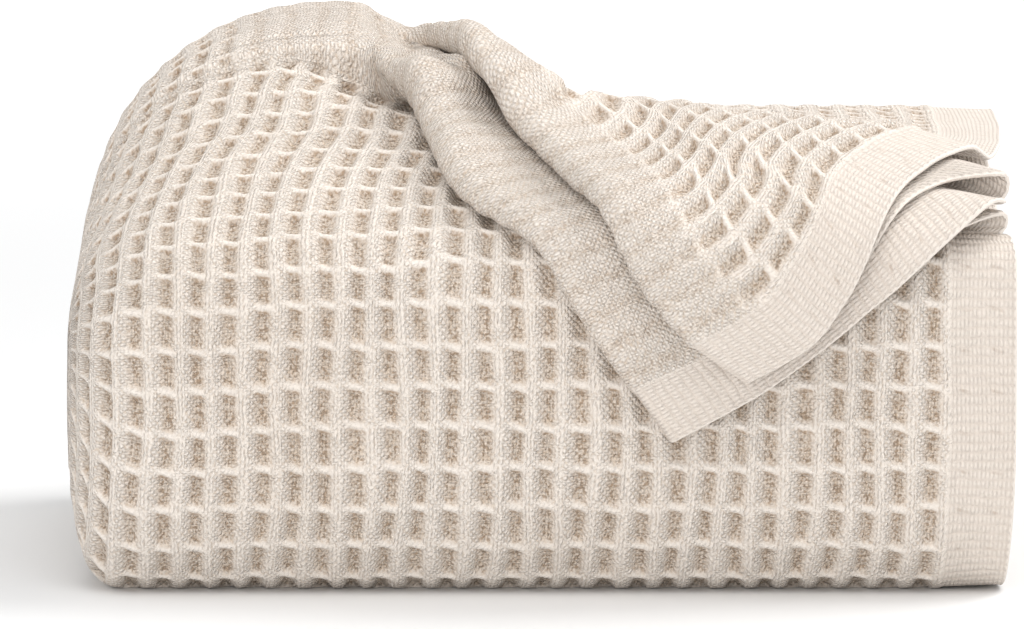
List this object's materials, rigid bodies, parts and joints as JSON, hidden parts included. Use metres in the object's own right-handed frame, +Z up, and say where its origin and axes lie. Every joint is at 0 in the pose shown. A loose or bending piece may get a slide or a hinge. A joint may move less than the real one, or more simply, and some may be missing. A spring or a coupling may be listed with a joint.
{
  "type": "folded woven blanket",
  "caption": "Thick waffle weave blanket folded into a bundle, its upper right layers turned over in two soft diagonal rolls with a plain edge band.",
  "frame": {"origin": "centre of the underside, on the surface that the bundle lies on", "axes": "+X along the bundle towards the end with the plain edge band, +Y from its rounded front to its back, +Z up"},
  "size_m": [0.3885, 0.3239, 0.2295],
  "materials": {
    "cotton": "matte natural cotton"
  },
  "bodies": {
    "root": {"blanket": "cotton"}
  },
  "joints": []
}
